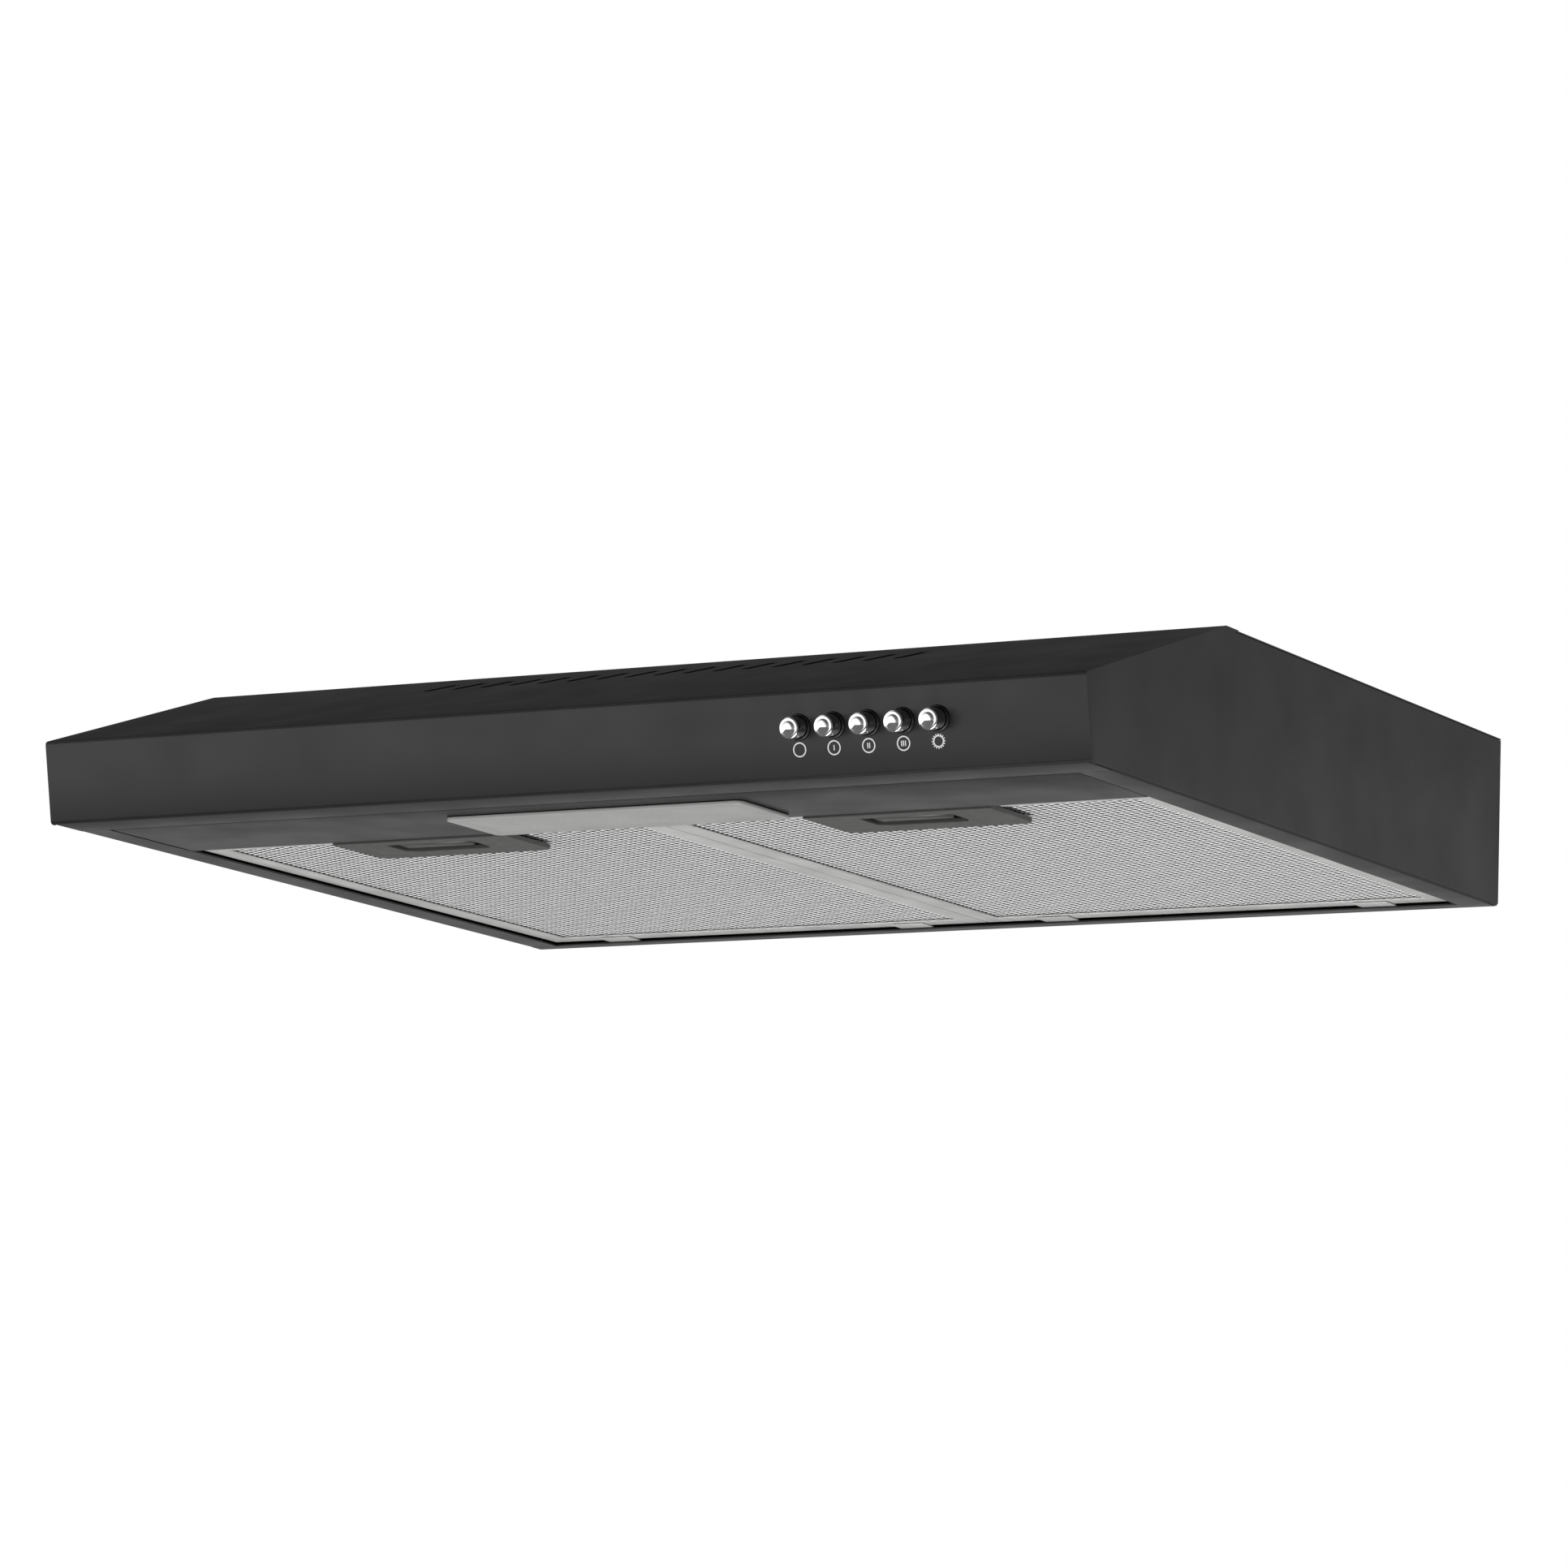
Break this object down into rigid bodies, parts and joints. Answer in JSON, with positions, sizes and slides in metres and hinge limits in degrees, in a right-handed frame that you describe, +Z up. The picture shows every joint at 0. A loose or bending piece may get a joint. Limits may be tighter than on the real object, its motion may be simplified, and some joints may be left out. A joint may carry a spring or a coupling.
{
  "type": "under cabinet range hood",
  "caption": "Slim under-cabinet range hood with a slanted vented front, push buttons, a lamp plate, swing-down grease filters with finger latches and a blower feeding a top duct collar.",
  "frame": {"origin": "on the flat top face, on the centre line, 280 mm in front of the wall plane", "axes": "+Z up through the cabinet above, +X along the width to the right as seen from the front, +Y from the front panel towards the wall"},
  "size_m": [0.6, 0.4866, 0.1102],
  "materials": {
    "body_enamel": "satin black enamel on folded sheet steel",
    "zinc_sheet": "zinc-coated sheet",
    "lens": "frosted translucent moulding",
    "reflector": "bright formed sheet",
    "socket": "heat-resistant moulding",
    "lamp_cap": "rolled screw cap",
    "bulb": "frosted glass",
    "switch": "black moulding",
    "button": "polished chrome plate",
    "spring": "drawn spring wire",
    "filter_frame": "rolled channel",
    "filter_mesh": "layers of bright expanded metal",
    "handle": "fine-textured grey moulding",
    "latch": "grey moulding",
    "duct_plastic": "dark moulding",
    "impeller": "black moulding",
    "motor_steel": "pressed and turned steel",
    "terminal": "pale moulding",
    "gland": "black moulding",
    "capacitor": "pale moulded can"
  },
  "bodies": {
    "hood": {"blower_lid": "zinc_sheet", "blower_tray": "zinc_sheet", "bracket_screw_1": "motor_steel", "bracket_screw_2": "motor_steel", "bracket_screw_3": "motor_steel", "button_high_spring": "spring", "button_lamp_spring": "spring", "button_low_spring": "spring", "button_medium_spring": "spring", "button_off_spring": "spring", "cable_gland": "gland", "capacitor": "capacitor", "capacitor_strap": "zinc_sheet", "duct_collar": "duct_plastic", "flap_pin": "motor_steel", "inlet_ring": "impeller", "lamp_bulb": "bulb", "lamp_cap": "lamp_cap", "lamp_reflector": "reflector", "lamp_socket": "socket", "left_side_panel": "body_enamel", "light_plate": "body_enamel", "lower_bearing": "motor_steel", "motor_bracket": "zinc_sheet", "motor_can": "motor_steel", "motor_end_shield": "motor_steel", "motor_stator": "motor_steel", "rear_panel": "body_enamel", "right_side_panel": "body_enamel", "switch_housing": "switch", "terminal_box": "terminal", "terminal_cover": "terminal", "top_sheet": "body_enamel", "upper_bearing": "motor_steel"},
    "lamp_lens": {"lamp_lens": "lens"},
    "button_off": {"button_off": "button"},
    "button_low": {"button_low": "button"},
    "button_medium": {"button_medium": "button"},
    "button_high": {"button_high": "button"},
    "button_lamp": {"button_lamp": "button"},
    "left_filter": {"left_filter_frame": "filter_frame", "left_filter_mesh": "filter_mesh", "left_filter_tab_1": "filter_frame", "left_filter_tab_2": "filter_frame", "left_filter_handle": "handle", "left_latch_spring": "spring"},
    "left_latch": {"left_filter_latch": "latch"},
    "left_flap": {"left_flap": "duct_plastic"},
    "right_filter": {"right_filter_frame": "filter_frame", "right_filter_mesh": "filter_mesh", "right_filter_tab_1": "filter_frame", "right_filter_tab_2": "filter_frame", "right_filter_handle": "handle", "right_latch_spring": "spring"},
    "right_latch": {"right_filter_latch": "latch"},
    "right_flap": {"right_flap": "duct_plastic"},
    "impeller": {"impeller": "impeller", "motor_shaft": "motor_steel", "motor_rotor": "motor_steel"}
  },
  "joints": [
    {"name": "button_off_press", "type": "slide", "parent": "hood", "child": "button_off", "axis": [0, 0.9792, 0.2029], "range_m": [0, 0.004], "stiffness_N_per_m": 200, "springref_m": -0.003, "deforming": ["button_off_spring"]},
    {"name": "button_low_press", "type": "slide", "parent": "hood", "child": "button_low", "axis": [0, 0.9792, 0.2029], "range_m": [0, 0.004], "stiffness_N_per_m": 200, "springref_m": -0.003, "deforming": ["button_low_spring"]},
    {"name": "button_medium_press", "type": "slide", "parent": "hood", "child": "button_medium", "axis": [0, 0.9792, 0.2029], "range_m": [0, 0.004], "stiffness_N_per_m": 200, "springref_m": -0.003, "deforming": ["button_medium_spring"]},
    {"name": "button_high_press", "type": "slide", "parent": "hood", "child": "button_high", "axis": [0, 0.9792, 0.2029], "range_m": [0, 0.004], "stiffness_N_per_m": 200, "springref_m": -0.003, "deforming": ["button_high_spring"]},
    {"name": "button_lamp_press", "type": "slide", "parent": "hood", "child": "button_lamp", "axis": [0, 0.9792, 0.2029], "range_m": [0, 0.004], "stiffness_N_per_m": 200, "springref_m": -0.003, "deforming": ["button_lamp_spring"]},
    {"name": "left_filter_swing", "type": "hinge", "parent": "hood", "child": "left_filter", "pos_m": [0, 0.268, -0.0892], "axis": [1, 0, 0], "range_deg": [0, 60]},
    {"name": "left_latch_slide", "type": "slide", "parent": "left_filter", "child": "left_latch", "axis": [0, 1, 0], "range_m": [0, 0.0055], "stiffness_N_per_m": 250, "springref_m": -0.004, "deforming": ["left_latch_spring"]},
    {"name": "right_filter_swing", "type": "hinge", "parent": "hood", "child": "right_filter", "pos_m": [0, 0.268, -0.0892], "axis": [1, 0, 0], "range_deg": [0, 60]},
    {"name": "right_latch_slide", "type": "slide", "parent": "right_filter", "child": "right_latch", "axis": [0, 1, 0], "range_m": [0, 0.0055], "stiffness_N_per_m": 250, "springref_m": -0.004, "deforming": ["right_latch_spring"]},
    {"name": "lamp_lens_swing", "type": "hinge", "parent": "hood", "child": "lamp_lens", "pos_m": [0, -0.149, -0.0903], "axis": [-1, 0, 0], "range_deg": [0, 75]},
    {"name": "left_flap_swing", "type": "hinge", "parent": "hood", "child": "left_flap", "pos_m": [0, 0.12, 0.006], "axis": [0, 1, 0], "range_deg": [0, 80]},
    {"name": "right_flap_swing", "type": "hinge", "parent": "hood", "child": "right_flap", "pos_m": [0, 0.12, 0.006], "axis": [0, -1, 0], "range_deg": [0, 80]},
    {"name": "impeller_spin", "type": "hinge", "parent": "hood", "child": "impeller", "pos_m": [-0.145, 0.062, -0.03], "axis": [0, 0, 1], "continuous": true}
  ]
}
